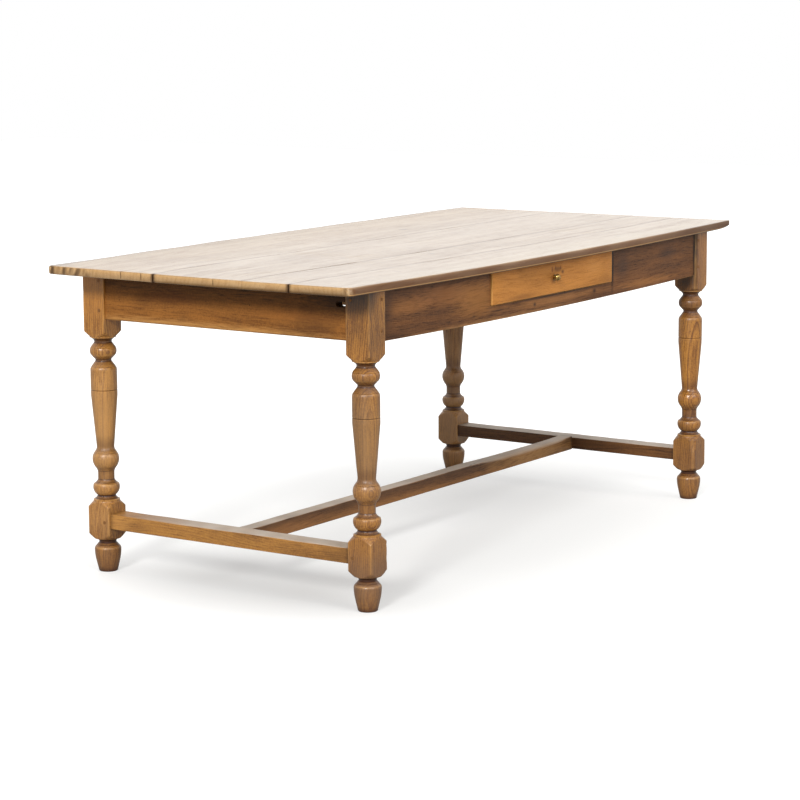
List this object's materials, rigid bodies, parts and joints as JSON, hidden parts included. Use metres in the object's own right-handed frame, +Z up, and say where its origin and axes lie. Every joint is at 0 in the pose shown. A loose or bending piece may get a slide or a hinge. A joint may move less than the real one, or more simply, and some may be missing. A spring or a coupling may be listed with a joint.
{
  "type": "farmhouse dining table",
  "caption": "Long wooden farmhouse dining table with turned legs, low stretchers in an H, a plank top and a shallow drawer with a brass knob.",
  "frame": {"origin": "on the floor, under the middle of the table", "axes": "+X along the table, -Y towards the side with the drawer, +Z up"},
  "size_m": [1.81, 0.88, 0.76],
  "materials": {
    "legs": "waxed, worn",
    "aprons": "waxed, darkened",
    "stretchers": "waxed, foot-worn",
    "pegs": "waxed",
    "top": "waxed, polished by use",
    "fixings": "bare, sawn",
    "drawer_face": "waxed",
    "drawer_box": "bare, planed",
    "knob": "tarnished",
    "screws": "oxidised"
  },
  "bodies": {
    "frame": {"leg_front_left": "legs", "leg_back_left": "legs", "leg_front_right": "legs", "leg_back_right": "legs", "apron_front": "aprons", "apron_back": "aprons", "apron_end_left": "aprons", "apron_end_right": "aprons", "stretcher_end_left": "stretchers", "stretcher_end_right": "stretchers", "stretcher_long": "stretchers", "apron_pegs": "pegs", "stretcher_pegs": "pegs", "top_plank_front": "top", "top_plank_second": "top", "top_plank_middle": "top", "top_plank_back": "top", "top_batten_left": "fixings", "top_batten_right": "fixings", "top_buttons": "fixings", "drawer_runner_left": "fixings", "drawer_runner_right": "fixings", "drawer_stops": "fixings", "batten_screws": "screws", "button_screws": "screws"},
    "drawer": {"drawer_front": "drawer_face", "drawer_side_left": "drawer_box", "drawer_side_right": "drawer_box", "drawer_back": "drawer_box", "drawer_bottom": "drawer_box", "drawer_knob": "knob", "knob_washer": "knob", "knob_nut": "knob"}
  },
  "joints": [
    {"name": "drawer_slide", "type": "slide", "parent": "frame", "child": "drawer", "axis": [0, -1, 0], "range_m": [0, 0.32]}
  ]
}
